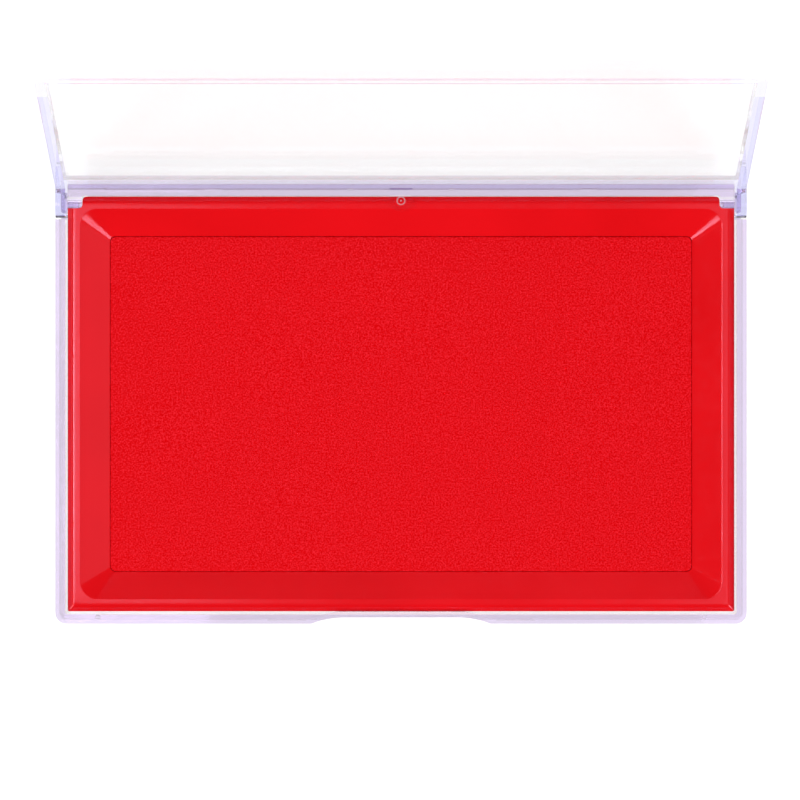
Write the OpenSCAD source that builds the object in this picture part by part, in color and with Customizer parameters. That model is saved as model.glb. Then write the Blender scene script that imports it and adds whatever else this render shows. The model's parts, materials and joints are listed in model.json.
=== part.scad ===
// Desk ink pad: a clear hinged case that holds a red tray with an inked cloth pad.
// The lid turns on two moulded pins at the rear and is drawn open, against its stop.
// Origin: centre of the underside. X to the right, Y to the hinge, Z up. Millimetres.

/* [Case] */
// Width of the case over its belt
case_w = 140; // [138:0.5:150]
// Depth of the case over its belt
case_d = 89; // [88:0.5:96]
// Height of the bottom half, up to its rim
base_h = 12.2; // [12:0.1:14]
// Thickness of the case floor
floor_t = 1.5; // [1.2:0.1:1.6]
// Thickness of the case walls
wall_t = 1.2; // [1:0.05:1.3]
// How far the belt stands out from the walls
belt_w = 0.8; // [0.6:0.05:0.9]
// Corner radius of the belt and of the lid
corner_r = 2.2; // [1.6:0.1:3]

/* [Lid] */
// Thickness of the lid's flat plate
lid_t = 1.4; // [1.2:0.1:1.6]
// Depth of the lid's side walls below the plate
lid_skirt = 2.2; // [2:0.1:2.6]
// Width of the lid's free edge
lid_edge_w = 2.15; // [1.6:0.05:2.2]
// Angle the lid stands open from closed
lid_open = 103; // [0:1:103]

/* [Hinge] */
// Distance from the rear edge of the lid to the hinge axis
hinge_inset = 4.2; // [4.1:0.1:4.3]
// Distance from the rim down to the hinge axis
hinge_drop = 2.6; // [2.5:0.1:2.7]
// Radius of the lid's hinge ears
ear_r = 2.6; // [2.2:0.1:2.6]
// Radius of the hinge pins
pin_r = 0.95; // [0.7:0.05:1]
// Radial running clearance of the pins
pin_clear = 0.08; // [0.04:0.01:0.1]

/* [Tray] */
// Width of the flat rim and its chamfer together
tray_rim = 2.5; // [2:0.1:2.8]
// Width of the chamfer round the outside of the rim
tray_chamfer = 1.2; // [0.8:0.1:1.4]
// Corner radius of the recess at the rim
recess_r = 3.6; // [2:0.1:5]
// Depth of the recess, from the rim to the mouth of the well
recess_depth = 3.1; // [2:0.1:3.4]
// Wall thickness of the tray
tray_t = 1.2; // [1:0.05:1.3]

/* [Pad] */
// Width of the inked cloth
pad_w = 118; // [100:0.5:119]
// Depth of the inked cloth
pad_d = 68; // [50:0.5:69]
// How far the cloth stands above the mouth of the well
pad_proud = 0.3; // [0:0.05:0.5]
// Thickness of the cloth
cloth_t = 0.4; // [0.3:0.05:0.6]
// Thickness of the sponge under the cloth
sponge_t = 2.5; // [1.5:0.1:3]

/* [Hidden] */
$fn = 48;
overlap = 0.5;           // how far joined shapes run into each other
far = 20;                // how far a cut runs past the part

// Heights
belt_top = base_h - 1;
belt_bottom = belt_top - 1;
lid_edge_z = base_h + 0.2;
plate_z = lid_edge_z + lid_skirt;
tray_z = floor_t + 0.1;
tray_top = base_h - 0.2;
well_mouth_z = tray_top - recess_depth;
well_floor_z = tray_z + tray_t;
pad_top = well_mouth_z + pad_proud;

// Bottom half
rear_inset = 1.2;        // rear wall, set in from the belt for the lid to swing past
tray_gap = 0.5;          // tray to side wall
room_w = case_w - 2 * (belt_w + wall_t);
room_front = -case_d / 2 + belt_w + wall_t - 0.1;
room_back = case_d / 2 - rear_inset - wall_t + 0.05;
room_r = 0.6;
body_back = case_d / 2 - rear_inset;
scoop_flat = 23;         // width of the thumb scoop at its full depth
scoop_mouth = 36.3;      // width of the thumb scoop at the belt
scoop_depth = 1.3;
scoop_r = (pow((scoop_mouth - scoop_flat) / 2, 2) + pow(scoop_depth, 2)) / (2 * scoop_depth);
bead_x = 23.1;           // middle of each snap bead
bead_l = 7.8;
bead_r = 0.3;
bead_out = 0.1;
pip_x = 61.4;            // small pips on the front rim that the lid rests on
pip_r = 0.5;
pip_h = 0.15;
rib_x = 38;              // ribs on the rear wall that stop the lid
rib_w = 3.6;
rib_out = 0.4;
rib_z = base_h - 6.45;
small_rib_x = 10.3;
small_rib_w = 1.2;

// Clear tab that holds the rear of the tray down
tab_r = 2.3;
tab_t = 1;
tab_y = case_d / 2 - 3.2;
gate_r = 0.9;            // moulded ring on the tab
gate_line = 0.3;
gate_h = 0.15;

// Hinge
hinge_y = case_d / 2 - hinge_inset;
hinge_z = base_h - hinge_drop;
ear_inner = case_w / 2 - 2.4;
ear_gap = 0.1;
block_outer = ear_inner - ear_gap;
block_inner = block_outer - 2.9;
block_front = hinge_y - 3.1;
block_top_front = hinge_y - 0.55;
block_step_z = tray_top - tray_t - 0.2;
gusset_inner = block_inner - 4.6;
gusset_out = 0.7;
gusset_z = base_h - 5.2;
ear_notch_front = hinge_y - ear_r - 0.3;
ear_notch_z = 3.4;
hinge_room_front = ear_notch_front - 2;
pin_l = 2.3;
pin_tip = 0.3;

// Tray
tray_w = case_w - 5;
tray_d = case_d - 5;
well_clear = 0.15;
well_w = pad_w + 2 * well_clear;
well_d = pad_d + 2 * well_clear;
well_r = 0.7;
recess_w = tray_w - 2 * tray_rim;
recess_d = tray_d - 2 * tray_rim;
skin = 0.01;             // thin slice that stands for a flat outline inside a hull
slope_drop = 1.36;       // lowers the recess to leave the slope a wall of tray_t
notch_x = block_inner - 0.1;
notch_y = block_top_front - 0.15;
notch_r = 0.8;
rib_t = 1;               // ribs under the tray
long_ribs = [-44, -22, 0, 22, 44];
short_ribs = [-18, 0, 18];

// Lid
edge_draft = 0.75;       // the side walls thicken by this much up to the plate
front_skirt_t = 0.65;
front_skirt_w = case_w - 4.4;
front_skirt_z = belt_top + 0.1;
rear_bead_h = 0.7;       // thick rear edge of the plate, which meets the stop ribs
rear_bead_w = 1.2;

// Pad
pad_r = 0.7;
hem_w = 8;               // cloth folded under the felt
hem_t = 0.3;
tape_t = 0.2;
tape_w = 6;
tape_l = 100;
pad_bottom = well_floor_z + tape_t;
sponge_z = pad_top - cloth_t - sponge_t;

module rounded_rect(w, d, r) {
    square([w - 2 * r, d], center = true);
    square([w, d - 2 * r], center = true);
    for (x = [-1, 1], y = [-1, 1])
        translate([x * (w / 2 - r), y * (d / 2 - r)]) circle(r);
}

module rounded_slab(w, d, r, z0, z1) {
    translate([0, 0, z0]) linear_extrude(z1 - z0) rounded_rect(w, d, r);
}

// A slab whose front and back are given, centred across X
module slab_between(w, front, back, r, z0, z1) {
    translate([0, (front + back) / 2, 0]) rounded_slab(w, back - front, r, z0, z1);
}

module both_sides() {
    children();
    mirror([1, 0, 0]) children();
}

// Extrudes a Y-Z outline along X
module along_x(x0, x1) {
    translate([x0, 0, 0]) rotate([90, 0, 90]) linear_extrude(x1 - x0) children();
}

// Outline of the thumb scoop in plan: a flat with an arc at each end
module scoop_outline() {
    flat_y = -case_d / 2 + scoop_depth;
    for (x = [-1, 1])
        translate([x * scoop_flat / 2, flat_y - scoop_r]) circle(scoop_r, $fn = 120);
    translate([-scoop_flat / 2, flat_y - far]) square([scoop_flat, far]);
}

module case_shell() {
    body_w = case_w - 2 * belt_w;
    body_front = -case_d / 2 + belt_w;
    difference() {
        union() {
            slab_between(body_w, body_front, body_back, corner_r - belt_w, 0, base_h);
            rounded_slab(case_w, case_d, corner_r, belt_bottom, belt_top);
        }
        // Room for the tray, with the front wall kept thick behind the scoop
        difference() {
            slab_between(room_w, room_front, room_back, room_r, floor_t, base_h + far);
            translate([0, wall_t - 0.1, 0]) linear_extrude(base_h + far) scoop_outline();
        }
        translate([0, 0, -far]) linear_extrude(2 * far + base_h) scoop_outline();
        both_sides()
            translate([block_outer, ear_notch_front, ear_notch_z]) cube([far, far, far]);
    }
}

module hinge_block() {
    block_w = block_outer - block_inner;
    translate([block_inner, block_front, floor_t - overlap])
        cube([block_w, body_back - block_front, block_step_z - floor_t + overlap]);
    translate([block_inner, block_top_front, floor_t])
        cube([block_w, body_back - block_top_front, base_h - floor_t]);
    translate([gusset_inner, room_back, gusset_z])
        cube([block_outer - gusset_inner, body_back + gusset_out - room_back, base_h - gusset_z]);
}

module retaining_tab() {
    translate([0, 0, tray_top + 0.1]) linear_extrude(tab_t) {
        translate([0, tab_y]) circle(tab_r);
        translate([-tab_r, tab_y]) square([2 * tab_r, body_back + rib_out - tab_y]);
    }
    translate([0, tab_y - 0.2, tray_top + 0.1 + tab_t - overlap]) {
        difference() {
            cylinder(h = overlap + gate_h, r = gate_r);
            translate([0, 0, overlap]) cylinder(h = far, r = gate_r - gate_line);
        }
        cylinder(h = overlap + gate_h, r = gate_line, $fn = 24);
    }
}

module stop_rib(x, w) {
    translate([x - w / 2, room_back, rib_z])
        cube([w, body_back + rib_out - room_back, base_h - rib_z]);
}

module snap_bead(x) {
    translate([x - bead_l / 2, -case_d / 2 + belt_w - bead_out + bead_r, (belt_top + base_h) / 2])
        rotate([0, 90, 0]) cylinder(h = bead_l, r = bead_r, $fn = 24);
}

module base_case() {
    color([0.90, 0.88, 0.97, 0.45])
    difference() {
        union() {
            case_shell();
            both_sides() {
                hinge_block();
                stop_rib(rib_x, rib_w);
                stop_rib(small_rib_x, small_rib_w);
                snap_bead(bead_x);
                translate([pip_x, -case_d / 2 + belt_w + wall_t / 2, base_h - overlap])
                    cylinder(h = overlap + pip_h, r = pip_r, $fn = 24);
            }
            retaining_tab();
        }
        both_sides()
            translate([block_inner - 1, hinge_y, hinge_z])
                rotate([0, 90, 0]) cylinder(h = block_outer - block_inner + 2, r = pin_r + pin_clear);
    }
}

// Lid as it lies when closed
module closed_lid() {
    inner_x = case_w / 2 - lid_edge_w;
    inner_front = -case_d / 2 + lid_edge_w;
    difference() {
        union() {
            rounded_slab(case_w, case_d, corner_r, lid_edge_z, plate_z + lid_t);
            // Thin skirt that drops in front of the rim of the bottom half
            intersection() {
                rounded_slab(case_w, case_d, corner_r, front_skirt_z, lid_edge_z + overlap);
                translate([-front_skirt_w / 2, -case_d / 2, 0])
                    cube([front_skirt_w, front_skirt_t, case_d]);
            }
        }
        // Hollow, with walls that thicken up to the plate
        intersection() {
            rotate([90, 0, 0]) linear_extrude(2 * case_d, center = true)
                polygon([[-inner_x, 0], [inner_x, 0], [inner_x, lid_edge_z],
                    [inner_x - edge_draft, plate_z], [edge_draft - inner_x, plate_z],
                    [-inner_x, lid_edge_z]]);
            along_x(-case_w, case_w)
                polygon([[inner_front, 0], [case_d, 0], [case_d, plate_z - rear_bead_h],
                    [case_d / 2 - rear_bead_w, plate_z - rear_bead_h],
                    [case_d / 2 - rear_bead_w, plate_z], [inner_front + edge_draft, plate_z],
                    [inner_front, lid_edge_z]]);
        }
        // Upright inner faces beside the hinge, which swing clear of its blocks
        translate([-ear_inner, hinge_room_front, 0])
            cube([2 * ear_inner, case_d / 2 - rear_bead_w - hinge_room_front, plate_z]);
        translate([-ear_inner, hinge_room_front, 0])
            cube([2 * ear_inner, far, plate_z - rear_bead_h]);
    }
    both_sides() {
        along_x(ear_inner, case_w / 2) {
            translate([hinge_y, hinge_z]) circle(ear_r);
            translate([hinge_y - ear_r, hinge_z]) square([2 * ear_r, lid_edge_z + overlap - hinge_z]);
        }
        translate([ear_inner + overlap, hinge_y, hinge_z]) rotate([0, -90, 0]) {
            cylinder(h = overlap + pin_l - pin_tip, r = pin_r);
            translate([0, 0, overlap + pin_l - pin_tip])
                cylinder(h = pin_tip, r1 = pin_r, r2 = pin_r - pin_tip);
        }
    }
}

module lid_cover() {
    color([0.88, 0.86, 0.98, 0.40])
    translate([0, hinge_y, hinge_z]) rotate([-lid_open, 0, 0]) translate([0, -hinge_y, -hinge_z])
        closed_lid();
}

// Chamfered outline of the tray across one direction, for a mitred rim
module tray_profile(w) {
    polygon([[-w / 2, tray_z], [w / 2, tray_z], [w / 2, tray_top - tray_chamfer],
        [w / 2 - tray_chamfer, tray_top], [tray_chamfer - w / 2, tray_top],
        [-w / 2, tray_top - tray_chamfer]]);
}

// Sloping recess that narrows from the rim to the mouth of the well
module recess() {
    hull() {
        rounded_slab(recess_w, recess_d, recess_r, tray_top, tray_top + 1);
        rounded_slab(well_w, well_d, well_r, well_mouth_z, well_mouth_z + skin);
    }
}

// Hollow under the rim and the slope, left in cells between the ribs
module underside_hollow() {
    difference() {
        translate([tray_t - tray_w / 2, tray_t - tray_d / 2, 0])
            cube([tray_w - 2 * tray_t, tray_d - 2 * tray_t, tray_top - tray_t]);
        translate([0, 0, -slope_drop]) recess();
        rounded_slab(well_w + 2 * tray_t, well_d + 2 * tray_t, well_r + tray_t, 0, tray_top);
        for (x = long_ribs)
            translate([x - rib_t / 2, -tray_d, 0]) cube([rib_t, 2 * tray_d, tray_top]);
        for (y = short_ribs)
            translate([-tray_w, y - rib_t / 2, 0]) cube([2 * tray_w, rib_t, tray_top]);
    }
}

// Rear corner of the tray, cut away round the hinge block
module corner_notch() {
    translate([notch_x, notch_y, 0]) linear_extrude(tray_top + far)
        translate([far / 2, far / 2]) rounded_rect(far, far, notch_r);
    translate([notch_x - notch_r, tray_d / 2 - notch_r, 0]) linear_extrude(tray_top + far)
        difference() {
            square(notch_r + overlap);
            circle(notch_r);
        }
    translate([notch_x - notch_r, block_front - 0.6, 0])
        cube([far, far, tray_top - tray_t - 0.05]);
}

module insert_tray() {
    color([0.86, 0.04, 0.10])
    difference() {
        intersection() {
            rotate([90, 0, 0]) linear_extrude(tray_d, center = true) tray_profile(tray_w);
            along_x(-tray_w / 2, tray_w / 2) tray_profile(tray_d);
        }
        recess();
        rounded_slab(well_w, well_d, well_r, well_floor_z, tray_top);
        underside_hollow();
        both_sides() corner_notch();
    }
}

module pad_cloth() {
    inner_w = pad_w - 2 * cloth_t;
    inner_d = pad_d - 2 * cloth_t;
    color([0.90, 0.06, 0.12])
    difference() {
        rounded_slab(pad_w, pad_d, pad_r, pad_bottom, pad_top);
        rounded_slab(inner_w, inner_d, pad_r - cloth_t, pad_bottom + hem_t, pad_top - cloth_t);
        translate([0, 0, pad_bottom - overlap]) linear_extrude(2 * overlap)
            square([pad_w - 2 * hem_w, pad_d - 2 * hem_w], center = true);
    }
}

module pad_filling(z0, z1) {
    rounded_slab(pad_w - 2 * cloth_t, pad_d - 2 * cloth_t, pad_r - cloth_t, z0, z1);
}

module sponge_layer() {
    color([0.80, 0.08, 0.12]) pad_filling(sponge_z, pad_top - cloth_t);
}

module felt_core() {
    color([0.62, 0.05, 0.09]) pad_filling(pad_bottom + hem_t, sponge_z);
}

module fixing_tapes() {
    tape_y = pad_d / 2 - hem_w / 2;
    color([0.93, 0.92, 0.88])
    for (y = [-tape_y, tape_y])
        translate([-tape_l / 2, y - tape_w / 2, well_floor_z]) cube([tape_l, tape_w, tape_t]);
}

base_case();
lid_cover();
insert_tray();
pad_cloth();
sponge_layer();
felt_core();
fixing_tapes();
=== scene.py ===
"""Looks of the ink pad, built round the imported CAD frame.

Every size below is in millimetres in the CAD's own frame: X right, Y to the hinge, Z up.
Meshes are scaled to metres when they are made.
"""

import json
import math

import bmesh
import bpy
import numpy as np
from mathutils import Matrix, Vector, noise


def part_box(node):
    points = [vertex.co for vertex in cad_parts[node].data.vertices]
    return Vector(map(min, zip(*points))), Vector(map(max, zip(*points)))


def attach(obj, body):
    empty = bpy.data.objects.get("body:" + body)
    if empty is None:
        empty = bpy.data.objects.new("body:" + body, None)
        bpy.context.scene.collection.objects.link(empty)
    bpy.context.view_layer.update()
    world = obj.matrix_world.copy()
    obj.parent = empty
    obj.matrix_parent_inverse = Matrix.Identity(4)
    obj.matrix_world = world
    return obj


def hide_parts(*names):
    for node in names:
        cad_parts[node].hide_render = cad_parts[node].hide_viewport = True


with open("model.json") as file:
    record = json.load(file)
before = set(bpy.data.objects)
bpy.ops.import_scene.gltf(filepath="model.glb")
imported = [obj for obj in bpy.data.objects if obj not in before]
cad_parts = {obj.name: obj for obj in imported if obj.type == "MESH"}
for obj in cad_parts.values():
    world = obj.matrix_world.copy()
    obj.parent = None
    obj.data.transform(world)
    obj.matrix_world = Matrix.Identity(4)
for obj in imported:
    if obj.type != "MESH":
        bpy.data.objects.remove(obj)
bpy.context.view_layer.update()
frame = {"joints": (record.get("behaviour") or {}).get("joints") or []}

MM = 0.001
EPS = 0.5                  # how far joined pieces sink into each other
OVER = 3                   # how far cutting tools run past what they cut
FAR = 100                  # past the whole object
TOUCH = 0.01               # places closer than this are the same


def box_mm(node):
    """Lowest and highest corner of a CAD node, in millimetres."""
    low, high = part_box(node)
    return low / MM, high / MM


# ---------------------------------------------------------------- sizes from the frame
base_low, base_high = box_mm("base_case")
tray_low, tray_high = box_mm("insert_tray")
pad_low, pad_high = box_mm("pad_cloth")
felt_low, felt_high = box_mm("felt_core")
tape_low, tape_high = box_mm("fixing_tapes")
hinge = frame["joints"][0]
HINGE_Y = hinge["pos_m"][1] / MM
HINGE_Z = hinge["pos_m"][2] / MM
LID_OPEN = math.radians(hinge["range_deg"][1])

HALF_W = (base_high.x - base_low.x) / 2
FRONT = base_low.y
REAR = base_high.y
TRAY_TOP = tray_high.z
RIM = TRAY_TOP + 0.2       # rim of the bottom half
FLOOR_T = tray_low.z - 0.1

# Bottom half
BELT_W = 0.8               # how far the belt stands out from the walls
WALL_T = 1.2
BELT_TOP = RIM - 1.0
BELT_LOW = RIM - 2.0
CORNER_R = 2.2
CLEAR_EDGE_R = 0.14        # rounding on the edges of the clear mouldings
BODY_X = HALF_W - BELT_W
BODY_REAR = REAR - 1.2
ROOM_X = BODY_X - WALL_T
ROOM_FRONT = FRONT + BELT_W + WALL_T - 0.1
ROOM_REAR = BODY_REAR - WALL_T + 0.05
ROOM_R = 0.6
SCOOP_FLAT = 11.5          # half the flat of the thumb scoop
SCOOP_MOUTH = 18.15        # half its mouth
SCOOP_DEPTH = 1.3
SCOOP_WALL = WALL_T - 0.1
SCOOP_R = ((SCOOP_MOUTH - SCOOP_FLAT) ** 2 + SCOOP_DEPTH ** 2) / (2 * SCOOP_DEPTH)

# Small details of the bottom half
TAB_LOW = TRAY_TOP + 0.1   # clear tab over the rear rim of the tray
TAB_TOP = TRAY_TOP + 1.1
TAB_R = 2.3
TAB_Y = REAR - 3.2
GATE_Y = TAB_Y - 0.2       # ring and dot that moulding leaves on the tab
GATE_RING_R = 0.78
GATE_TUBE_R = 0.14
GATE_DOT_R = 0.2
DOME_H = 0.15
PIP_X = 61.4               # pips on the front rim
PIP_R = 0.5
SNAP_X = 23.1              # beads that the lid's skirt snaps over
SNAP_HALF = 3.9
SNAP_R = 0.3
SNAP_INSET = 0.2           # from the front wall's face back to a bead's middle

# Hinge
EAR_R = 2.6
EAR_X = HALF_W - 2.4
PIN_R = 0.95
PIN_TIP_R = 0.3
BORE_R = 1.03
PIN_L = 2.3
BLOCK_OUT = EAR_X - 0.1
BLOCK_IN = BLOCK_OUT - 2.9
BLOCK_FRONT = HINGE_Y - 3.1
BLOCK_TOP_FRONT = HINGE_Y - 0.55
BLOCK_STEP = TRAY_TOP - 1.4        # top of the blocks' low front halves
BLOCK_REAR_LOW = BODY_REAR - 0.3   # the blocks end inside the rear wall
BLOCK_REAR_HIGH = BODY_REAR - 0.2
NOTCH_FRONT = HINGE_Y - EAR_R - 0.3
NOTCH_Z = 3.4
GUSSET_IN = BLOCK_IN - 4.6
GUSSET_H = 5.2
GUSSET_D = 0.7
BLOCK_R = 0.25
STOP_RIBS = ((38, 3.6), (10.3, 1.2))   # middle and width of the ribs that the open lid rests on
STOP_RIB_H = 6.45
STOP_RIB_D = 0.4

# Lid, closed
LID_EDGE_Z = RIM + 0.2
PLATE_Z = LID_EDGE_Z + 2.2
LID_TOP = PLATE_Z + 1.4
EDGE_W = 2.15
EDGE_DRAFT = 0.75
SKIRT_T = 0.65
SKIRT_Z = BELT_TOP + 0.1
SKIRT_JOIN = LID_EDGE_Z + 0.6
SKIRT_END = HALF_W - 2.2
REAR_BEAD_H = 0.7
REAR_BEAD_W = 1.2
HINGE_ROOM_HIGH = NOTCH_FRONT - 2  # how far forward the lid is hollow between its ears, under the plate
HINGE_ROOM_LOW = NOTCH_FRONT - 1   # and under the rear bead

# Where the lid's plastic changes from thin plate to wall, inside and outside
SHEET_X = HALF_W - EDGE_W + 0.15
SHEET_REAR = 39.0
SHEET_FRONT = FRONT + EDGE_W + 0.15
OUTER_X = SHEET_X + 1.0
OUTER_REAR = 41.0
OUTER_FRONT = FRONT + 16.5

# Tray
TRAY_X = tray_high.x
TRAY_Y = tray_high.y
TRAY_T = 1.2
RIM_W = 2.5
CHAMFER = 1.2
CHAMFER_H = 0.8
OUTER_CORNER_R = 0.35
RECESS_R = 3.6
WELL_X = pad_high.x + 0.03
WELL_Y = pad_high.y + 0.03
WELL_R = 1.2
WELL_MOUTH = pad_high.z - 0.27
WELL_FLOOR = tray_low.z + TRAY_T
WELL_INSET = TRAY_X - WELL_X
PROFILE_RADII = (0.12, 1.5, 0.4, 0.15)   # foot of the chamfer, top of the chamfer, recess edge, well mouth
UNDER_RIM_Z = TRAY_TOP - 1.3             # underside of the rim
UNDER_WELL_Z = WELL_MOUTH - 0.81         # where the hollow's slope meets the well's wall
RIB_T = 1.0
RIBS_X = (-44, -22, 0, 22, 44)
RIBS_Y = (-18, 0, 18)
NOTCH_X = BLOCK_IN - 0.1                 # rear corners, cut away round the hinge blocks
NOTCH_Y = BLOCK_TOP_FRONT - 0.15
NOTCH_R = 0.8
NOTCH_EDGE_R = 0.18
LOW_NOTCH_FRONT = BLOCK_FRONT - 0.6
LOW_NOTCH_TOP = TRAY_TOP - TRAY_T - 0.05

# Cloth
CLOTH_STEP = 0.5           # grid of its mesh
CLOTH_EDGE_R = 0.35        # rounding where it turns down over the block
CLOTH_CORNER_R = 1.2       # its corners seen from above
CLOTH_HEM = 8.0
CLOTH_T = 0.3
NAP_H = 0.020              # height of the nap's bumps, and how many noise cells a millimetre holds
NAP_RATE = 0.9
WANDER_H = 0.05            # slow unevenness of the whole top
WANDER_RATE_X = 0.045
WANDER_RATE_Y = 0.06
SHADE_FROM = pad_high.z - 0.12   # below this, painted shade darkens the cloth into the crease

# Inside the pad
BLOCK_GAP = 0.1            # the felt and the sponge stop this far inside the CAD felt's sides
SPONGE_TOP = pad_high.z - 0.5
FELT_BOTTOM = felt_low.z + 0.05
TAPE_W = 6.0
TAPE_CUT = 0.2             # room for the wave of the cut ends
TAPE_WAVE = 0.15

# Studio, in metres
CAMERA_AT = (-0.0002, 0.0008, 1.321)
CEILING = 1.2              # height of the panels above the object


# ---------------------------------------------------------------- mesh helpers
def arc(cx, cy, r, a0, a1, n):
    """n + 1 points on an arc, angles in degrees."""
    return [(cx + r * math.cos(math.radians(a0 + (a1 - a0) * i / n)),
             cy + r * math.sin(math.radians(a0 + (a1 - a0) * i / n))) for i in range(n + 1)]


def rounded(x0, x1, y0, y1, r, n=10):
    """Outline of a rectangle with round corners, anticlockwise from the front right corner."""
    return (arc(x1 - r, y0 + r, r, -90, 0, n) + arc(x1 - r, y1 - r, r, 0, 90, n)
            + arc(x0 + r, y1 - r, r, 90, 180, n) + arc(x0 + r, y0 + r, r, 180, 270, n))


def rectangle(x0, x1, y0, y1):
    """Outline of a rectangle, anticlockwise."""
    return [(x0, y0), (x1, y0), (x1, y1), (x0, y1)]


def circle(cx, cy, r, n=48):
    """Outline of a circle, anticlockwise."""
    return arc(cx, cy, r, 0, 360 - 360 / n, n - 1)


def turns(n):
    """n angles evenly round a circle."""
    return np.linspace(0, 2 * math.pi, n, endpoint=False)


def new_object(name, bm):
    """Turns a mesh under construction into a scene object."""
    mesh = bpy.data.meshes.new(name)
    bmesh.ops.recalc_face_normals(bm, faces=bm.faces)
    bm.to_mesh(mesh)
    bm.free()
    obj = bpy.data.objects.new(name, mesh)
    bpy.context.scene.collection.objects.link(obj)
    return obj


def vertex(bm, x, y, z):
    """A new vertex at a place in millimetres."""
    return bm.verts.new((x * MM, y * MM, z * MM))


def bridge(bm, low, high):
    """A band of faces between two closed rows of the same count."""
    n = len(low)
    for i in range(n):
        bm.faces.new((low[i], low[(i + 1) % n], high[(i + 1) % n], high[i]))


def skin(bm, rows, close=True):
    """Skins a stack of closed rows; with close, the first and last are filled."""
    for low, high in zip(rows, rows[1:]):
        bridge(bm, low, high)
    if close:
        bm.faces.new(rows[0])
        bm.faces.new(rows[-1])


def add_prism(bm, outline, start, end, axis="Z"):
    """A closed prism of a 2D outline: in X and Y, or with axis X in Y and Z, or with axis Y in X and Z."""
    places = {"Z": lambda a, b, c: (a, b, c), "X": lambda a, b, c: (c, a, b), "Y": lambda a, b, c: (a, c, b)}
    low, high = ([vertex(bm, *places[axis](a, b, c)) for a, b in outline] for c in (start, end))
    bm.faces.new(low)
    bm.faces.new(high)
    bridge(bm, low, high)


def prism(name, outline, start, end, axis="Z"):
    """One prism as an object."""
    bm = bmesh.new()
    add_prism(bm, outline, start, end, axis)
    return new_object(name, bm)


def add_box(bm, x0, x1, y0, y1, z0, z1):
    """A plain box between two corners."""
    add_prism(bm, rectangle(x0, x1, y0, y1), z0, z1)


def box(name, x0, x1, y0, y1, z0, z1):
    """One box as an object."""
    return prism(name, rectangle(x0, x1, y0, y1), z0, z1)


def both_sides(x0, x1):
    """An X span and its mirror image."""
    return ((x0, x1), (-x1, -x0))


def mirrored_boxes(name, x0, x1, y0, y1, z0, z1):
    """A box and its mirror image, as one object."""
    bm = bmesh.new()
    for left, right in both_sides(x0, x1):
        add_box(bm, left, right, y0, y1, z0, z1)
    return new_object(name, bm)


def mirrored_prisms(name, outline, z0, z1):
    """An upright prism and its mirror image, as one object."""
    bm = bmesh.new()
    for side in (1, -1):
        add_prism(bm, [(side * x, y) for x, y in outline], z0, z1)
    return new_object(name, bm)


def mirrored_rods(name, outline, x0, x1):
    """A prism along X and its mirror image, as one object. The outline is in Y and Z."""
    bm = bmesh.new()
    for left, right in both_sides(x0, x1):
        add_prism(bm, outline, left, right, axis="X")
    return new_object(name, bm)


def combine(obj, tool, operation):
    """Joins or cuts obj with tool, and removes the tool."""
    mod = obj.modifiers.new("csg", "BOOLEAN")
    mod.operation = operation
    mod.solver = "EXACT"
    mod.object = tool
    graph = bpy.context.evaluated_depsgraph_get()
    mesh = bpy.data.meshes.new_from_object(obj.evaluated_get(graph))
    obj.modifiers.clear()
    old = obj.data
    obj.data = mesh
    mesh.name = obj.name
    bpy.data.meshes.remove(old)
    bpy.data.objects.remove(tool)


def join(obj, tool):
    """Adds tool to obj."""
    combine(obj, tool, "UNION")


def cut(obj, tool):
    """Takes tool away from obj."""
    combine(obj, tool, "DIFFERENCE")


def round_edges(obj, width, min_angle=24, keep=None):
    """Cleans a joined solid and rounds its sharp edges, or only those that keep picks."""
    bm = bmesh.new()
    bm.from_mesh(obj.data)
    bmesh.ops.remove_doubles(bm, verts=bm.verts, dist=0.004 * MM)
    bmesh.ops.dissolve_limit(bm, angle_limit=math.radians(0.4), verts=bm.verts, edges=bm.edges)
    limit = math.radians(min_angle)
    sharp = [e for e in bm.edges if len(e.link_faces) == 2 and e.calc_face_angle(0) > limit
             and (keep is None or keep(e))]
    bmesh.ops.bevel(bm, geom=sharp, offset=width * MM, offset_type="OFFSET", segments=3,
                    profile=0.5, affect="EDGES", clamp_overlap=True, harden_normals=False)
    bmesh.ops.remove_doubles(bm, verts=bm.verts, dist=0.002 * MM)
    bmesh.ops.recalc_face_normals(bm, faces=bm.faces)
    bm.to_mesh(obj.data)
    bm.free()
    obj.data.update()


def smooth_faces(obj):
    """Smooth shading on every face."""
    obj.data.polygons.foreach_set("use_smooth", [True] * len(obj.data.polygons))


def smooth(obj, sharp_angle=35):
    """Smooth shading that keeps flats flat and edges past sharp_angle crisp."""
    smooth_faces(obj)
    obj.data.set_sharp_from_angle(angle=math.radians(sharp_angle))
    mod = obj.modifiers.new("flats", "WEIGHTED_NORMAL")
    mod.mode = "FACE_AREA"
    mod.weight = 100
    mod.keep_sharp = True


def slice_mesh(bm, axis, place):
    """Adds edges where the plane across an axis (0 for X, 1 for Y) meets the mesh."""
    point, normal = Vector((0, 0, 0)), Vector((0, 0, 0))
    point[axis] = place * MM
    normal[axis] = 1
    bmesh.ops.bisect_plane(bm, geom=bm.verts[:] + bm.edges[:] + bm.faces[:], dist=1e-7,
                           plane_co=point, plane_no=normal)


def mark_zones(obj, cuts_x, cuts_y, zone):
    """Cuts the mesh at some X and Y, and gives each face the material slot that zone says for its middle."""
    bm = bmesh.new()
    bm.from_mesh(obj.data)
    for axis, places in ((0, cuts_x), (1, cuts_y)):
        for place in places:
            slice_mesh(bm, axis, place)
    for face in bm.faces:
        face.material_index = zone(face.calc_center_median() / MM)
    bm.to_mesh(obj.data)
    bm.free()


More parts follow.
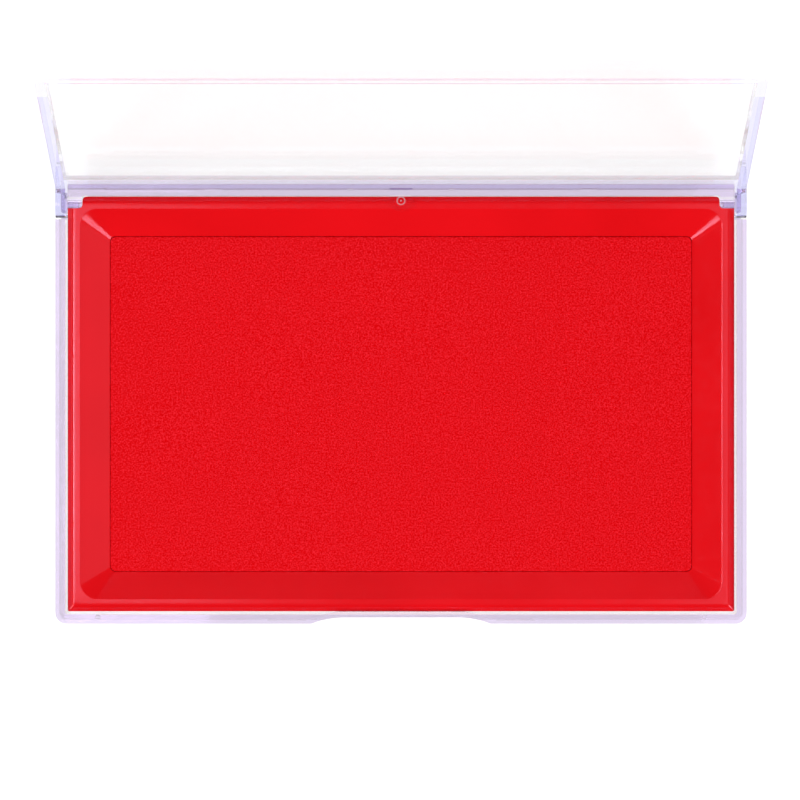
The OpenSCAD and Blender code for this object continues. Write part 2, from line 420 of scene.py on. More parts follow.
# ---------------------------------------------------------------- bottom half of the case
def scoop_line(push):
    """The thumb scoop's outline, moved to the rear by push, from left to right."""
    flat = FRONT + SCOOP_DEPTH + push
    sweep = math.degrees(math.asin(min(1.0, (SCOOP_MOUTH - SCOOP_FLAT + 1) / SCOOP_R)))
    left = arc(-SCOOP_FLAT, flat - SCOOP_R, SCOOP_R, 90 + sweep, 90, 16)
    right = arc(SCOOP_FLAT, flat - SCOOP_R, SCOOP_R, 90, 90 - sweep, 16)
    return left + right


def scoop_tool():
    """Cuts the thumb scoop out of the front."""
    line = scoop_line(0)
    return prism("scoop", line + [(line[-1][0], FRONT - OVER), (line[0][0], FRONT - OVER)], -OVER, RIM + OVER)


def room_outline():
    """Inside of the walls, with the front wall kept thick behind the scoop."""
    line = [p for p in scoop_line(SCOOP_WALL) if p[1] > ROOM_FRONT + TOUCH]
    middle_y = FRONT + SCOOP_DEPTH + SCOOP_WALL - SCOOP_R
    reach = math.sqrt(SCOOP_R ** 2 - (ROOM_FRONT - middle_y) ** 2)
    line = [(-SCOOP_FLAT - reach, ROOM_FRONT)] + line + [(SCOOP_FLAT + reach, ROOM_FRONT)]
    return line + rounded(-ROOM_X, ROOM_X, ROOM_FRONT, ROOM_REAR, ROOM_R)


def make_shell():
    """Floor and walls with the belt, the scoop and room for the lid's ears."""
    body = rounded(-BODY_X, BODY_X, FRONT + BELT_W, BODY_REAR, CORNER_R - BELT_W)
    obj = prism("case_bottom", body, 0, RIM)
    join(obj, prism("belt", rounded(-HALF_W, HALF_W, FRONT, REAR, CORNER_R, 16), BELT_LOW, BELT_TOP))
    cut(obj, prism("room", room_outline(), FLOOR_T, RIM + OVER))
    cut(obj, scoop_tool())
    cut(obj, mirrored_boxes("ear_room", BLOCK_OUT, HALF_W + OVER, NOTCH_FRONT, REAR + OVER,
                            NOTCH_Z, RIM + OVER))
    return obj


def add_hinge_blocks(obj):
    """Hinge blocks, their low front halves and the gussets behind them."""
    join(obj, mirrored_boxes("low_blocks", BLOCK_IN, BLOCK_OUT, BLOCK_FRONT, BLOCK_REAR_LOW,
                             FLOOR_T - EPS, BLOCK_STEP))
    outline = rounded(BLOCK_IN, BLOCK_OUT, BLOCK_TOP_FRONT, BLOCK_REAR_HIGH, BLOCK_R, 6)
    join(obj, mirrored_prisms("high_blocks", outline, FLOOR_T - EPS / 2, RIM))
    join(obj, mirrored_boxes("gussets", GUSSET_IN, BLOCK_OUT, BODY_REAR - EPS, BODY_REAR + GUSSET_D,
                             RIM - GUSSET_H, RIM))


def stop_ribs():
    """Ribs behind the rear wall that the lid stops against."""
    bm = bmesh.new()
    for middle, width in STOP_RIBS:
        for x0, x1 in both_sides(middle - width / 2, middle + width / 2):
            add_box(bm, x0, x1, BODY_REAR - EPS, BODY_REAR + STOP_RIB_D, RIM - STOP_RIB_H, RIM)
    return new_object("stop_ribs", bm)


def clear_tab():
    """Round-ended tab over the rear rim of the tray."""
    root = BODY_REAR + STOP_RIB_D
    outline = arc(0, TAB_Y, TAB_R, 180, 360, 32) + [(TAB_R, root), (-TAB_R, root)]
    return prism("tab", outline, TAB_LOW, TAB_TOP)


def snap_beads():
    """Beads on the front wall that the lid's skirt snaps over."""
    outline = circle(FRONT + BELT_W + SNAP_INSET, (BELT_TOP + RIM) / 2, SNAP_R, 24)
    return mirrored_rods("snap_beads", outline, SNAP_X - SNAP_HALF, SNAP_X + SNAP_HALF)


def rim_pips():
    """A small pip near each end of the front rim."""
    bm = bmesh.new()
    for x in (-PIP_X, PIP_X):
        add_dome(bm, x, FRONT + BELT_W + WALL_T / 2, RIM, PIP_R, DOME_H)
    return new_object("pips", bm)


def gate_mark():
    """The ring and dot that moulding leaves on the tab."""
    bm = bmesh.new()
    add_ring(bm, 0, GATE_Y, TAB_TOP, GATE_RING_R, GATE_TUBE_R)
    add_dome(bm, 0, GATE_Y, TAB_TOP, GATE_DOT_R, DOME_H)
    return new_object("gate_mark", bm)


def make_case_bottom():
    """The clear bottom half of the case."""
    obj = make_shell()
    add_hinge_blocks(obj)
    join(obj, stop_ribs())
    join(obj, clear_tab())
    cut(obj, mirrored_rods("bores", circle(HINGE_Y, HINGE_Z, BORE_R), BLOCK_IN - 1, BLOCK_OUT + 1))
    round_edges(obj, CLEAR_EDGE_R)

    # The small raised details are joined after the edges are rounded, so that they stay crisp
    join(obj, snap_beads())
    join(obj, rim_pips())
    join(obj, gate_mark())
    into_wall = 0.05
    mark_zones(obj, (-ROOM_X - into_wall, ROOM_X + into_wall),
               (ROOM_FRONT - into_wall, ROOM_REAR + into_wall), case_zone)
    smooth(obj)
    return obj


def case_zone(p):
    """Material slot at a point of the bottom half: 0 walls, 1 floor, 2 the tab, 3 its edge and gate mark,
    which carry a painted highlight.
    """
    in_room = abs(p.x) < ROOM_X and ROOM_FRONT < p.y < ROOM_REAR
    if in_room and p.z < FLOOR_T + TOUCH:
        return 1
    if in_room and abs(p.x) < TAB_R + 0.7 and p.z > TRAY_TOP:
        on_flat = min(abs(p.z - TAB_LOW), abs(p.z - TAB_TOP)) < TOUCH
        return 2 if on_flat else 3
    return 0


def add_dome(bm, x, y, z, r, h, rings=5, n=24):
    """A shallow closed dome that stands on z, with a short root below it."""
    profile = [(r, z - 0.2)]
    for k in range(rings):
        t = k / rings * math.pi / 2
        profile.append((r * math.cos(t), z + h * math.sin(t)))
    skin(bm, [[vertex(bm, x + out * math.cos(a), y + out * math.sin(a), up) for a in turns(n)]
              for out, up in profile])


def add_ring(bm, x, y, z, r, tube, n=40, m=10):
    """A round bead bent into a ring."""
    rows = []
    for a in turns(n):
        profile = [(r + tube * math.cos(b), z + tube * math.sin(b)) for b in turns(m)]
        rows.append([vertex(bm, x + out * math.cos(a), y + out * math.sin(a), up) for out, up in profile])
    skin(bm, rows + rows[:1], close=False)


# ---------------------------------------------------------------- lid
def lid_skirt():
    """The short skirt that hangs over the front rim, between the side walls."""
    skirt = prism("skirt", rounded(-HALF_W, HALF_W, FRONT, REAR, CORNER_R, 16), SKIRT_Z, SKIRT_JOIN)
    cut(skirt, box("skirt_back", -HALF_W - OVER, HALF_W + OVER, FRONT + SKIRT_T, REAR + OVER, 0, LID_TOP))
    cut(skirt, mirrored_boxes("skirt_ends", SKIRT_END, HALF_W + OVER, FRONT - OVER, FRONT + OVER, 0, LID_TOP))
    return skirt


def lid_hollow():
    """The space under the plate: drafted at the sides and the front, with a bead along the rear."""
    wide = HALF_W - EDGE_W
    narrow = wide - EDGE_DRAFT
    hollow = prism("hollow", [(-narrow, PLATE_Z), (-wide, LID_EDGE_Z), (-wide, 0), (wide, 0),
                              (wide, LID_EDGE_Z), (narrow, PLATE_Z)], -FAR, FAR, axis="Y")
    edge = FRONT + EDGE_W
    bead_front, bead_z = REAR - REAR_BEAD_W, PLATE_Z - REAR_BEAD_H
    lengthways = prism("lengthways", [(edge, 0), (FAR, 0), (FAR, bead_z), (bead_front, bead_z),
                                      (bead_front, PLATE_Z), (edge + EDGE_DRAFT, PLATE_Z),
                                      (edge, LID_EDGE_Z)], -FAR, FAR, axis="X")
    combine(hollow, lengthways, "INTERSECT")
    return hollow


def lid_ears():
    """The ears that carry the hinge pins, outside the hinge blocks."""
    outline = (arc(HINGE_Y, HINGE_Z, EAR_R, 180, 360, 32)
               + [(HINGE_Y + EAR_R, SKIRT_JOIN), (HINGE_Y - EAR_R, SKIRT_JOIN)])
    return mirrored_rods("ears", outline, EAR_X, HALF_W)


def lid_pins():
    """Both hinge pins."""
    bm = bmesh.new()
    for side in (1, -1):
        add_pin(bm, side)
    return new_object("pins", bm)


def make_lid():
    """The lid, made closed and then turned to its open rest pose."""
    obj = prism("lid_shell", rounded(-HALF_W, HALF_W, FRONT, REAR, CORNER_R, 16), LID_EDGE_Z, LID_TOP)
    join(obj, lid_skirt())
    cut(obj, lid_hollow())
    cut(obj, box("hinge_room", -EAR_X, EAR_X, HINGE_ROOM_HIGH, REAR - REAR_BEAD_W, 0, PLATE_Z))
    cut(obj, box("hinge_room_low", -EAR_X, EAR_X, HINGE_ROOM_LOW, REAR + OVER, 0, PLATE_Z - REAR_BEAD_H))
    join(obj, lid_ears())
    round_edges(obj, CLEAR_EDGE_R)
    join(obj, lid_pins())
    mark_zones(obj, (-OUTER_X, -SHEET_X, SHEET_X, OUTER_X),
               (SHEET_FRONT, OUTER_FRONT, SHEET_REAR, OUTER_REAR), lid_zone)
    axis = Vector((0, HINGE_Y, HINGE_Z)) * MM
    turn = Matrix.Rotation(-LID_OPEN, 4, "X")
    obj.data.transform(Matrix.Translation(axis) @ turn @ Matrix.Translation(-axis))
    smooth(obj)
    return obj


def lid_zone(p):
    """Material slot at a point of the closed lid: 0 sides, 1 thin plate, 2 lip and hinge end, 3 front."""
    outside = p.z > LID_TOP - 0.05
    on_lip = min(abs(p.z - LID_EDGE_Z), abs(p.z - SKIRT_Z)) < 2 * TOUCH
    if p.y < SHEET_FRONT:
        return 2 if on_lip else 3
    if outside and p.y < OUTER_FRONT:
        return 1
    if abs(p.x) > (OUTER_X if outside else SHEET_X):
        return 0
    if outside and abs(p.x) > SHEET_X:
        return 2
    return 1 if p.y < (OUTER_REAR if outside else SHEET_REAR) else 2


def add_pin(bm, side, n=40, steps=6):
    """A hinge pin with a rounded tip, rooted in the ear."""
    profile = [(EAR_X + EPS, PIN_R)]
    tip_x, tip_r = EAR_X - PIN_L + PIN_TIP_R, PIN_R - PIN_TIP_R
    for k in range(steps + 1):
        t = k / steps * math.pi / 2
        profile.append((tip_x - PIN_TIP_R * math.sin(t), tip_r + PIN_TIP_R * math.cos(t)))
    skin(bm, [[vertex(bm, side * x, HINGE_Y + r * math.cos(a), HINGE_Z + r * math.sin(a)) for a in turns(n)]
              for x, r in profile])


# ---------------------------------------------------------------- red tray
def add_ring_rows(bm, rings):
    """A closed row of vertices for each rounded rectangle: half width, half depth, corner radius, height."""
    return [[vertex(bm, x, y, z) for x, y in rounded(-hx, hx, -hy, hy, r, 14)] for hx, hy, r, z in rings]


def fillet(a, b, c, r, n=5):
    """Rounds the profile corner b between a and c. Points are (inset, z)."""
    a, b, c = Vector(a), Vector(b), Vector(c)
    u, v = (a - b).normalized(), (c - b).normalized()
    half = math.acos(max(-1.0, min(1.0, u.dot(v)))) / 2
    run = min(r / math.tan(half), (a - b).length * 0.45, (c - b).length * 0.45)
    start, end = b + u * run, b + v * run
    points = []
    for i in range(n + 1):
        t = i / n
        points.append(tuple((1 - t) ** 2 * start + 2 * t * (1 - t) * b + t * t * end))
    return points


def tray_profile():
    """Profile of the tray's top, from its foot over the rim to the well floor: (inset, z)."""
    corners = [(0, tray_low.z), (0, TRAY_TOP - CHAMFER_H), (CHAMFER, TRAY_TOP), (RIM_W, TRAY_TOP),
               (WELL_INSET, WELL_MOUTH), (WELL_INSET, WELL_FLOOR)]
    line = [corners[0]]
    for i, r in enumerate(PROFILE_RADII, 1):
        line += fillet(corners[i - 1], corners[i], corners[i + 1], r)
    return line + [corners[-1]]


def slope_share(inset):
    """How far down the recess's slope an inset lies, from 0 at the rim to 1 at the well."""
    return min(1.0, max(0.0, (inset - RIM_W) / (WELL_INSET - RIM_W)))


def corner_radius(inset):
    """Corner radius of a ring: nearly sharp outside, wide at the recess, narrow at the well."""
    if inset <= CHAMFER:
        return OUTER_CORNER_R
    if inset <= RIM_W:
        t = (inset - CHAMFER) / (RIM_W - CHAMFER)
        return OUTER_CORNER_R + (RECESS_R - OUTER_CORNER_R) * t * t * (3 - 2 * t)
    return RECESS_R + (WELL_R - RECESS_R) * slope_share(inset)


def half_depth(inset):
    """Half depth of a ring. The slopes at the front and rear are narrower than at the sides."""
    if inset <= RIM_W:
        return TRAY_Y - inset
    return (TRAY_Y - RIM_W) + (WELL_Y - TRAY_Y + RIM_W) * slope_share(inset)


def tray_ribs():
    """Where ribs stay under the tray's slopes."""
    half = RIB_T / 2
    bm = bmesh.new()
    for x in RIBS_X:
        for y0, y1 in ((-TRAY_Y - 1, -WELL_Y - half), (WELL_Y + half, TRAY_Y + 1)):
            add_box(bm, x - half, x + half, y0, y1, -1, TRAY_TOP)
    for y in RIBS_Y:
        for x0, x1 in both_sides(WELL_X + half, TRAY_X + 1):
            add_box(bm, x0, x1, y - half, y + half, -1, TRAY_TOP)
    return new_object("ribs", bm)


def tray_hollow():
    """The hollow underneath, which leaves the slope's wall at an even thickness."""
    t = TRAY_T
    outer = (TRAY_X - t, TRAY_Y - t, 0.3)
    under_rim = (TRAY_X - RIM_W + 0.1, TRAY_Y - RIM_W + 0.1, RECESS_R, UNDER_RIM_Z)
    well = (WELL_X + t, WELL_Y + t, WELL_R + t)
    rings = [(*outer, 0), (*outer, UNDER_RIM_Z), under_rim, (*well, UNDER_WELL_Z), (*well, 0)]
    bm = bmesh.new()
    rows = add_ring_rows(bm, rings)
    skin(bm, rows + rows[:1], close=False)
    hollow = new_object("under", bm)
    cut(hollow, tray_ribs())
    return hollow


def corner_notches():
    """The rear corners' cuts, round the hinge blocks, with round inner and outer corners."""
    r, past_x, past_y = NOTCH_R, TRAY_X + OVER, TRAY_Y + OVER
    outline = (arc(NOTCH_X + r, NOTCH_Y + r, r, 180, 270, 8)
               + [(past_x, NOTCH_Y), (past_x, past_y), (NOTCH_X - r, past_y), (NOTCH_X - r, TRAY_Y)]
               + arc(NOTCH_X - r, TRAY_Y - r, r, 90, 0, 8)[1:])
    return mirrored_prisms("notches", outline, 0, TRAY_TOP + OVER)


def by_notch(edge):
    """Only the top edges that the corner cuts left sharp."""
    middle = (edge.verts[0].co + edge.verts[1].co) / 2 / MM
    return middle.z > UNDER_RIM_Z and abs(middle.x) > NOTCH_X - 1 and middle.y > NOTCH_Y - 0.3


def make_tray():
    """The red tray: rim, sloping recess and well, hollow underneath."""
    bm = bmesh.new()
    skin(bm, add_ring_rows(bm, [(TRAY_X - inset, half_depth(inset), corner_radius(inset), z)
                                for inset, z in tray_profile()]))
    obj = new_object("red_tray", bm)
    cut(obj, tray_hollow())
    cut(obj, corner_notches())
    cut(obj, mirrored_boxes("low_notches", NOTCH_X - NOTCH_R, TRAY_X + OVER, LOW_NOTCH_FRONT, TRAY_Y + OVER,
                            0, LOW_NOTCH_TOP))
    round_edges(obj, NOTCH_EDGE_R, min_angle=40, keep=by_notch)
    smooth(obj, 30)
    return obj


# ---------------------------------------------------------------- pad
def cloth_plan(x, y, core_x, core_y, corner):
    """Pulls the square corners of the cloth's grid in to round ones."""
    u, v = (abs(x) - core_x) / corner, (abs(y) - core_y) / corner
    if u <= 0 or v <= 0:
        return x, y
    return (math.copysign(core_x + corner * u * math.sqrt(1 - v * v / 2), x),
            math.copysign(core_y + corner * v * math.sqrt(1 - u * u / 2), y))


def cloth_fall(top, bottom):
    """Rows past the flat top, as (outward, z): over the edge, down the side, round and under."""
    edge, quarter = CLOTH_EDGE_R, math.pi / 2
    rows = [(edge * math.sin(a), top - edge * (1 - math.cos(a))) for a in np.linspace(0, quarter, 6)[1:]]
    rows += [(edge, z) for z in np.linspace(top - edge, bottom + edge, 7)[1:]]
    rows += [(edge * math.cos(a), bottom + edge * (1 - math.sin(a))) for a in np.linspace(0, quarter, 4)[1:]]
    return rows + [(-out, bottom) for out in np.linspace(0, CLOTH_HEM, 7)[1:]]


def raise_nap(obj, lowest):
    """Small soft bumps over the top, and a slight wander of its height. None down the sides."""
    for v in obj.data.vertices:
        p = v.co / MM
        if p.z < lowest:
            continue
        fine = noise.noise(Vector((p.x * NAP_RATE, p.y * NAP_RATE, 3.1)))
        wide = noise.noise(Vector((p.x * WANDER_RATE_X, p.y * WANDER_RATE_Y, 1.3)))
        v.co.z += (NAP_H * fine + WANDER_H * wide - WANDER_H) * MM


def cloth_top(bm, flat_x, flat_y, corner):
    """The flat top, as an even grid with round corners. Gives the vertices of its edge, in order round it."""
    nx, ny = (2 * int(half / CLOTH_STEP) for half in (flat_x, flat_y))
    core_x, core_y = flat_x - corner, flat_y - corner
    grid = {}
    for i in range(nx + 1):
        for j in range(ny + 1):
            x, y = cloth_plan(flat_x * (2 * i / nx - 1), flat_y * (2 * j / ny - 1), core_x, core_y, corner)
            grid[i, j] = vertex(bm, x, y, pad_high.z)
    for i in range(nx):
        for j in range(ny):
            bm.faces.new((grid[i, j], grid[i + 1, j], grid[i + 1, j + 1], grid[i, j + 1]))

    return ([grid[i, 0] for i in range(nx)] + [grid[nx, j] for j in range(ny)]
            + [grid[i, ny] for i in range(nx, 0, -1)] + [grid[0, j] for j in range(ny, 0, -1)])


def cloth_sides(bm, last, flat_x, flat_y, corner):
    """The sides and the hem, hung from the top's edge."""
    core_x, core_y = flat_x - corner, flat_y - corner
    starts = [v.co / MM for v in last]
    for out, z in cloth_fall(pad_high.z, pad_low.z):
        row = []
        for p in starts:
            core = Vector((min(core_x, max(-core_x, p.x)), min(core_y, max(-core_y, p.y)), p.z))
            q = p + (p - core).normalized() * out
            # The limits mitre the hem's corners
            x = min(flat_x + out, max(-flat_x - out, q.x))
            y = min(flat_y + out, max(-flat_y - out, q.y))
            row.append(vertex(bm, x, y, z))
        for k in range(len(row)):
            bm.faces.new((last[k - 1], row[k - 1], row[k], last[k]))
        last = row


def make_cloth():
    """The inked cloth: a napped sheet drawn over the block, down its sides and under the felt."""
    flat_x, flat_y = pad_high.x - CLOTH_EDGE_R, pad_high.y - CLOTH_EDGE_R
    corner = CLOTH_CORNER_R - CLOTH_EDGE_R
    bm = bmesh.new()
    edge = cloth_top(bm, flat_x, flat_y, corner)
    cloth_sides(bm, edge, flat_x, flat_y, corner)
    bmesh.ops.remove_doubles(bm, verts=bm.verts, dist=TOUCH * MM)
    obj = new_object("inked_cloth", bm)
    raise_nap(obj, pad_high.z - CLOTH_EDGE_R)
    thick = obj.modifiers.new("cloth", "SOLIDIFY")
    thick.thickness = CLOTH_T * MM
    thick.offset = -1
    smooth_faces(obj)
    return obj


def make_block(name, x, y, z0, z1, r, rough, cell=3):
    """A soft block with round edges and an uneven, open surface. x and y are its half sizes."""
    bm = bmesh.new()
    bmesh.ops.create_cube(bm, size=1)
    middle = (z0 + z1) / 2
    for v in bm.verts:
        v.co = Vector((v.co.x * 2 * x, v.co.y * 2 * y, middle + v.co.z * (z1 - z0))) * MM
    bmesh.ops.bevel(bm, geom=bm.edges[:], offset=r * MM, segments=3, profile=0.5, affect="EDGES")
    for axis, half in ((0, x), (1, y)):
        count = int(2 * half / cell)
        for k in range(1, count):
            slice_mesh(bm, axis, -half + 2 * half * k / count)
    obj = new_object(name, bm)
    for v in obj.data.vertices:
        p = v.co / MM
        dent = abs(rough * noise.noise(Vector((p.x * 0.6, p.y * 0.6, p.z))))
        v.co.z -= dent * MM * (1 if p.z > middle else -1)
    smooth_faces(obj)
    return obj


def make_tapes():
    """Two strips of tape with slightly wavy cut ends."""
    steps = 12
    middle = tape_high.y - TAPE_W / 2
    bm = bmesh.new()
    for y in (-middle, middle):
        wave = [TAPE_WAVE * math.sin(k * 1.9 + y) for k in range(steps + 1)]
        rise = [TAPE_W * k / steps for k in range(steps + 1)]
        right = [(tape_high.x - TAPE_CUT + wave[k], y - TAPE_W / 2 + rise[k]) for k in range(steps + 1)]
        left = [(tape_low.x + TAPE_CUT + wave[steps - k], y + TAPE_W / 2 - rise[k]) for k in range(steps + 1)]
        add_prism(bm, right + left, tape_low.z, tape_high.z)
    obj = new_object("tape_strips", bm)
    bevel = obj.modifiers.new("soft_edge", "BEVEL")
    bevel.width = 0.04 * MM
    bevel.segments = 2
    bevel.limit_method = "ANGLE"
    bevel.angle_limit = math.radians(60)
    return obj


# ---------------------------------------------------------------- materials
def material(name, **sockets):
    """A new material and its shader, with the shader's own sockets set."""
    mat = bpy.data.materials.new(name)
    mat.use_nodes = True
    shader = mat.node_tree.nodes["Principled BSDF"]
    for key, value in sockets.items():
        shader.inputs[key.replace("_", " ")].default_value = value
    return mat, shader


def node(mat, kind, **values):
    """A new node, with each value set on its socket or else on its property."""
    made = mat.node_tree.nodes.new(kind)
    for key, value in values.items():
        if key in made.inputs:
            made.inputs[key].default_value = value
        else:
            setattr(made, key, value)
    return made


def link(mat, a, out, b, into):
    """Joins an output of node a to an input of node b."""
    mat.node_tree.links.new(a.outputs[out], b.inputs[into])


def coords(mat):
    """Object coordinates, in metres in the CAD frame."""
    return node(mat, "ShaderNodeTexCoord")


def noise_node(mat, place, size_mm, detail=2.0, roughness=0.5):
    """A soft random field with features of a given size."""
    made = node(mat, "ShaderNodeTexNoise", Scale=1 / (size_mm * MM), Detail=detail, Roughness=roughness)
    link(mat, place, "Object", made, "Vector")
    return made


def ramp(mat, source, out, low, high, position=(0.35, 0.65)):
    """Maps a 0-1 field to a range between two colours."""
    made = node(mat, "ShaderNodeValToRGB")
    made.color_ramp.elements[0].position, made.color_ramp.elements[1].position = position
    made.color_ramp.elements[0].color = (*low, 1)
    made.color_ramp.elements[1].color = (*high, 1)
    link(mat, source, out, made, "Fac")
    return made


def grey(value):
    """A grey colour, or the same number three times."""
    return (value, value, value)


def bump(mat, shader, source, out, strength, distance_mm, before=None):
    """Relief from a field, added to the relief before it."""
    made = node(mat, "ShaderNodeBump", Strength=strength, Distance=distance_mm * MM)
    link(mat, source, out, made, "Height")
    if before is not None:
        link(mat, before, "Normal", made, "Normal")
    link(mat, made, "Normal", shader, "Normal")
    return made


def clear_plastic(name, tint, alpha=1.0, clear=1.0):
    """Clear polystyrene: faint lavender tint, moulding waves and fine handling haze."""
    mat, shader = material(name, Base_Color=(*tint, 1), Transmission_Weight=clear, IOR=1.57, Alpha=alpha,
                           Specular_Tint=(0.75, 0.62, 0.90, 1.0))
    place = coords(mat)
    waves = noise_node(mat, place, 22, 1)
    haze = noise_node(mat, place, 3.5, 4, 0.6)
    rough = ramp(mat, haze, "Fac", grey(0.02), grey(0.10), (0.45, 0.8))
    link(mat, rough, "Color", shader, "Roughness")
    first = bump(mat, shader, waves, "Fac", 0.25, 0.12)
    scratch = noise_node(mat, place, 0.9, 3, 0.6)
    bump(mat, shader, scratch, "Fac", 0.05, 0.01, first)
    return mat


def red_plastic():
    """Glossy red moulding with flow variation, fine scratches and a tinted shine."""
    mat, shader = material("red_gloss", IOR=1.55, Specular_IOR_Level=0.4,
                           Specular_Tint=(1.0, 0.64, 0.86, 1.0))
    place = coords(mat)
    flow = noise_node(mat, place, 30, 2)
    colour = ramp(mat, flow, "Fac", (0.73, 0.0010, 0.003), (0.80, 0.0020, 0.005))
    link(mat, colour, "Color", shader, "Base Color")
    wear = noise_node(mat, place, 2.2, 5, 0.65)
    rough = ramp(mat, wear, "Fac", grey(0.10), grey(0.18), (0.4, 0.75))
    link(mat, rough, "Color", shader, "Roughness")
    first = bump(mat, shader, flow, "Fac", 0.15, 0.2)
    pits = noise_node(mat, place, 0.5, 3, 0.6)
    bump(mat, shader, pits, "Fac", 0.06, 0.01, first)
    return mat


def crease_shade(mat, place):
    """Painted shade for the crease: 1 on top of the pad, falling to 0.6 down its rounded edge."""
    height = node(mat, "ShaderNodeSeparateXYZ")
    link(mat, place, "Object", height, "Vector")
    shade = node(mat, "ShaderNodeMapRange")
    levels = {"From Min": (pad_high.z - CLOTH_EDGE_R) * MM, "From Max": SHADE_FROM * MM,
              "To Min": 0.6, "To Max": 1.0}
    for socket, value in levels.items():
        shade.inputs[socket].default_value = value
    link(mat, height, "Z", shade, "Value")
    return shade


def inked_fabric():
    """Damp napped cloth: grains about a third of a millimetre across whose tone varies at random, with
    painted shade darkening the grains' hollows and the crease round the edge.
    """
    mat, shader = material("inked_fabric", Specular_IOR_Level=0.05, Sheen_Weight=0.05,
                           Specular_Tint=(1.0, 0.35, 0.45, 1.0), Sheen_Roughness=0.5,
                           Sheen_Tint=(1.0, 0.03, 0.05, 1.0))
    place = coords(mat)
    grain = noise_node(mat, place, 0.34, 2, 0.75)
    # Grain colour: partly random tone, partly painted shade, as it is darkest where the bump below makes
    # hollows
    colour = ramp(mat, grain, "Fac", (0.67, 0.0, 0.001), (0.90, 0.018, 0.032), (0.42, 0.68))
    # The grain colour times the painted crease shade
    painted_shade_mix = node(mat, "ShaderNodeMix", data_type="RGBA", blend_type="MULTIPLY")
    painted_shade_mix.inputs["Factor"].default_value = 1
    link(mat, colour, "Color", painted_shade_mix, 6)
    link(mat, crease_shade(mat, place), "Result", painted_shade_mix, 7)
    link(mat, painted_shade_mix, 2, shader, "Base Color")
    wet = noise_node(mat, place, 9, 2)
    rough = ramp(mat, wet, "Fac", grey(0.50), grey(0.72))
    link(mat, rough, "Color", shader, "Roughness")
    bump(mat, shader, grain, "Fac", 0.4, 0.2)
    return mat


def soft_filling(name, low, high, size_mm):
    """Open cells or fibres, with painted shade darkening the hollows between them."""
    mat, shader = material(name, Roughness=0.85, Sheen_Weight=0.15)
    place = coords(mat)
    cells = node(mat, "ShaderNodeTexVoronoi", Scale=1 / (size_mm * MM))
    link(mat, place, "Object", cells, "Vector")
    # Painted shade: the colour darkens away from the cells' middles, into the hollows between them
    colour = ramp(mat, cells, "Distance", high, low, (0.1, 0.7))
    link(mat, colour, "Color", shader, "Base Color")
    bump(mat, shader, cells, "Distance", 0.6, 0.3)
    return mat


def tape_film():
    """Off-white tape with paper fibres."""
    mat, shader = material("tape_film", Roughness=0.6)
    place = coords(mat)
    fibres = noise_node(mat, place, 0.7, 4, 0.6)
    colour = ramp(mat, fibres, "Fac", (0.82, 0.80, 0.72), (0.93, 0.92, 0.87))
    link(mat, colour, "Color", shader, "Base Color")
    bump(mat, shader, fibres, "Fac", 0.2, 0.03)
    return mat


# ---------------------------------------------------------------- pieces
def finish_piece(obj, mats, body, node_name):
    """Gives a piece its materials and its body, and hides the CAD node that it stands for."""
    for mat in mats:
        obj.data.materials.append(mat)
    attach(obj, body)
    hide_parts(node_name)


def case_plastics():
    """Slots of the bottom half, in the order that case_zone gives."""
    return [clear_plastic("clear_case", (0.74, 0.66, 0.84)),
            clear_plastic("clear_floor", (0.97, 0.96, 1.0), 0.4),
            clear_plastic("clear_tab", (1.0, 0.98, 0.99), 0.1),
            # Slot 3 is real frosting on the gate mark and also a painted highlight: its pale pink, mostly
            # diffuse finish stands in for the shine of the ring and the tab's edge
            clear_plastic("frosting_and_painted_highlight", (1.0, 0.70, 0.77), 0.35, 0.1)]


def lid_plastics():
    """Slots of the lid, in the order that lid_zone gives."""
    return [clear_plastic("clear_lid", (0.66, 0.65, 0.91)),
            clear_plastic("clear_lid_sheet", (0.96, 0.96, 1.0), 0.13),
            clear_plastic("clear_lid_root", (0.66, 0.62, 0.86), 0.6),
            clear_plastic("clear_lid_front", (0.86, 0.85, 1.0), 0.12)]


bottom = make_case_bottom()
finish_piece(bottom, case_plastics(), "base", "base_case")
lid = make_lid()
finish_piece(lid, lid_plastics(), "lid", "lid_cover")
tray = make_tray()
finish_piece(tray, [red_plastic()], "base", "insert_tray")
cloth = make_cloth()
finish_piece(cloth, [inked_fabric()], "base", "pad_cloth")

block_x, block_y = felt_high.x - BLOCK_GAP, felt_high.y - BLOCK_GAP
sponge = make_block("fine_sponge", block_x, block_y, felt_high.z, SPONGE_TOP, 0.3, 0.05)
finish_piece(sponge, [soft_filling("sponge_cells", (0.25, 0.01, 0.02), (0.62, 0.02, 0.04), 0.6)],
             "base", "sponge_layer")
felt = make_block("felt_block", block_x, block_y, FELT_BOTTOM, felt_high.z, 0.2, 0.04)
finish_piece(felt, [soft_filling("felt_fibres", (0.20, 0.01, 0.02), (0.45, 0.02, 0.03), 0.35)],
             "base", "felt_core")
tapes = make_tapes()
finish_piece(tapes, [tape_film()], "base", "fixing_tapes")


# ---------------------------------------------------------------- stage, light and camera
def make_floor():
    """A pale floor that glows a little, so that it stays even under the object."""
    bm = bmesh.new()
    bmesh.ops.create_grid(bm, x_segments=8, y_segments=8, size=3)
    obj = new_object("floor", bm)
    obj.location.z = -0.05 * MM   # a hair below the case, so that the two don't share a plane
    mat, shader = material("pale_floor", Roughness=0.75, Emission_Color=(1, 1, 1, 1), Emission_Strength=0.82,
                           Specular_IOR_Level=0.1)
    fleck = noise_node(mat, coords(mat), 40, 3)
    colour = ramp(mat, fleck, "Fac", grey(0.35), grey(0.37))
    link(mat, colour, "Color", shader, "Base Color")
    obj.data.materials.append(mat)


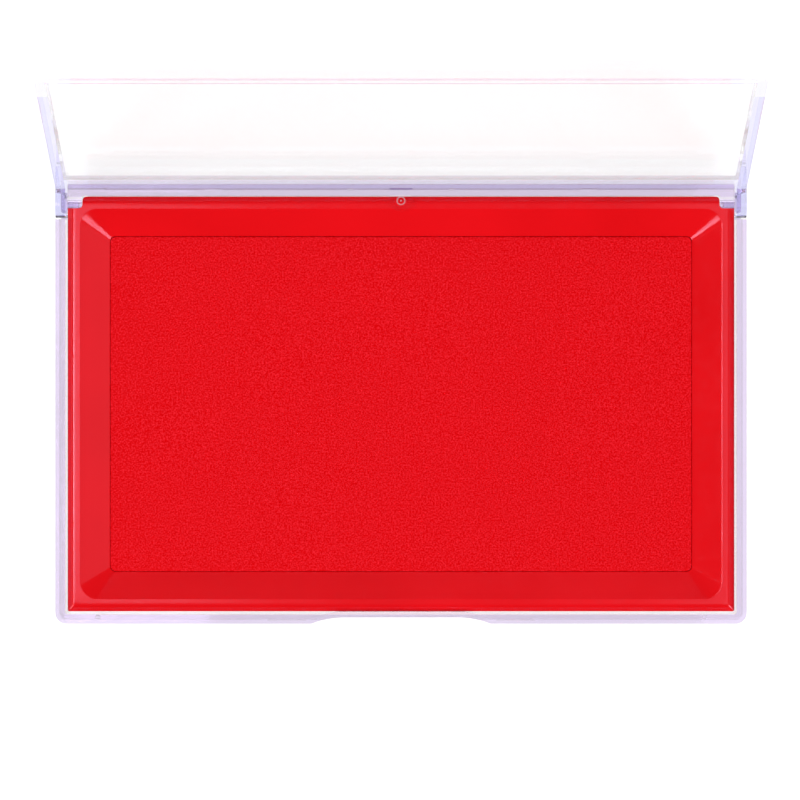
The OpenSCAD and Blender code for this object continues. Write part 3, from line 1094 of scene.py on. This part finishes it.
def make_world():
    """Studio surroundings: pale near the floor, dim above it, and soft light overhead."""
    world = bpy.data.worlds.new("studio")
    world.use_nodes = True
    tree = world.node_tree
    place = tree.nodes.new("ShaderNodeTexCoord")
    split = tree.nodes.new("ShaderNodeSeparateXYZ")
    bands = tree.nodes.new("ShaderNodeValToRGB")
    stops = bands.color_ramp.elements
    stops[0].position, stops[0].color = 0.02, (*grey(0.55), 1)
    stops[1].position, stops[1].color = 0.42, (*grey(0.15), 1)
    for position, level in ((0.08, 0.4), (0.20, 0.4), (0.80, 0.15), (0.95, 0.3)):
        stops.new(position).color = (*grey(level), 1)
    tree.links.new(place.outputs["Generated"], split.inputs["Vector"])
    tree.links.new(split.outputs["Z"], bands.inputs["Fac"])
    tree.links.new(bands.outputs["Color"], tree.nodes["Background"].inputs["Color"])
    bpy.context.scene.world = world


def area_light(name, place, size, radiance):
    """A rectangular light at a place in metres, facing down."""
    light = bpy.data.lights.new(name, "AREA")
    light.shape = "RECTANGLE"
    light.size, light.size_y = size
    light.energy = radiance * math.pi * size[0] * size[1]
    obj = bpy.data.objects.new(name, light)
    obj.location = place
    bpy.context.scene.collection.objects.link(obj)
    return obj


def softbox(name, azimuth, elevation, distance, size, radiance):
    """A light aimed at the object. Azimuth is anticlockwise from +X, in degrees."""
    a, e = math.radians(azimuth), math.radians(elevation)
    place = Vector((math.cos(a) * math.cos(e), math.sin(a) * math.cos(e), math.sin(e))) * distance
    obj = area_light(name, place, size, radiance)
    obj.rotation_euler = (-place).to_track_quat("-Z", "Y").to_euler()


def ceiling_box(name, x0, x1, y0, y1, radiance):
    """A level light above the object, given by its corners in metres."""
    area_light(name, ((x0 + x1) / 2, (y0 + y1) / 2, CEILING), (x1 - x0, y1 - y0), radiance)


def make_light():
    """Softboxes round the object and panels above it, whose reflections shape the tray's shine."""
    make_world()
    softbox("front_right", -37, 40, 1.25, (0.36, 0.40), 11.6)
    softbox("right", -8, 36, 1.25, (1.10, 0.50), 0.6)
    softbox("front_left", -146, 40, 1.25, (0.30, 0.40), 11.6)
    softbox("rear", 90, 10, 1.6, (2.2, 0.44), 1.4)
    softbox("left", 180, 22, 1.6, (1.4, 0.22), 1.0)
    ceiling_box("top_left", -0.62, -0.15, -0.10, 0.45, 4.2)
    ceiling_box("left_strip", -1.14, -0.66, -0.08, 0.08, 14.0)
    ceiling_box("left_edge", -0.1285, -0.075, -0.085, 0.075, 3.5)
    ceiling_box("top_right", 0.115, 0.60, -0.30, 0.45, 1.3)


def make_camera():
    """A long lens straight above, as in the picture of the object."""
    camera = bpy.data.cameras.new("camera")
    camera.lens = 291
    camera.sensor_width = 36
    camera.clip_start = 0.05
    camera.clip_end = 20
    obj = bpy.data.objects.new("camera", camera)
    obj.location = CAMERA_AT
    bpy.context.scene.collection.objects.link(obj)
    bpy.context.scene.camera = obj


make_floor()
make_light()
make_camera()
scene = bpy.context.scene
scene.view_settings.view_transform = "Standard"
scene.cycles.max_bounces = 32
scene.cycles.transmission_bounces = 32
scene.cycles.glossy_bounces = 32
